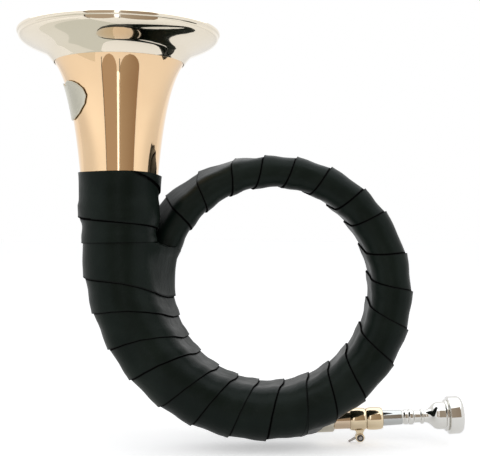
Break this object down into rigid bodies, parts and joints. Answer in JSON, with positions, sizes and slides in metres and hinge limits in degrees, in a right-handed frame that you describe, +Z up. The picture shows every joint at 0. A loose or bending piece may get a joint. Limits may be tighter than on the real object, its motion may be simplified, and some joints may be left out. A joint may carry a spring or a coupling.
{
  "type": "coiled hunting horn",
  "caption": "Small leather-bound hunting horn coiled round a hand loop, with a flared bell, a tuning slide with a lever clamp and a removable mouthpiece.",
  "frame": {"origin": "centre of the grip ring that the hand goes through", "axes": "+Z up, out of the bell's mouth; +X from the bell towards the mouthpiece; +Y away from the viewer who faces the front, towards the mouthpipe's side"},
  "size_m": [0.2849, 0.1256, 0.2651],
  "materials": {
    "brass": "gold brass, polished and clear lacquered",
    "rose_brass": "reddish brass, polished",
    "nickel_silver": "nickel silver, a copper alloy with a warm grey colour, polished",
    "silver_plate": "bright silver plate on brass",
    "steel": "plain steel screw, lever and rim wire",
    "leather": "black binding leather with a soft satin sheen"
  },
  "bodies": {
    "horn": {"coil_tube": "brass", "coil_ferrule": "nickel_silver", "bow_tube": "brass", "bell_ferrule": "nickel_silver", "bell": "brass", "garland": "nickel_silver", "rim_wire": "steel", "badge": "nickel_silver", "leather_wrap_lower": "leather", "leather_wrap_upper": "leather", "leather_wrap_bell": "leather", "mouthpipe_ferrule": "nickel_silver", "mouthpipe": "brass", "clamp_collar": "rose_brass"},
    "lever_screw": {"clamp_screw": "steel", "clamp_lever": "steel"},
    "slide": {"tuning_slide": "nickel_silver", "receiver_collar": "rose_brass"},
    "mouthpiece_body": {"mouthpiece": "silver_plate"}
  },
  "joints": [
    {"name": "tuning_slide_pull", "type": "slide", "parent": "horn", "child": "slide", "axis": [0.999, 0, 0.0436], "range_m": [0, 0.015]},
    {"name": "mouthpiece_pull", "type": "slide", "parent": "slide", "child": "mouthpiece_body", "axis": [0.999, 0, 0.0436], "range_m": [0, 0.022]},
    {"name": "clamp_screw_turn", "type": "hinge", "parent": "horn", "child": "lever_screw", "pos_m": [0.05835, 0.01702, -0.10065], "axis": [0, -1, 0], "range_deg": [0, 120]}
  ]
}
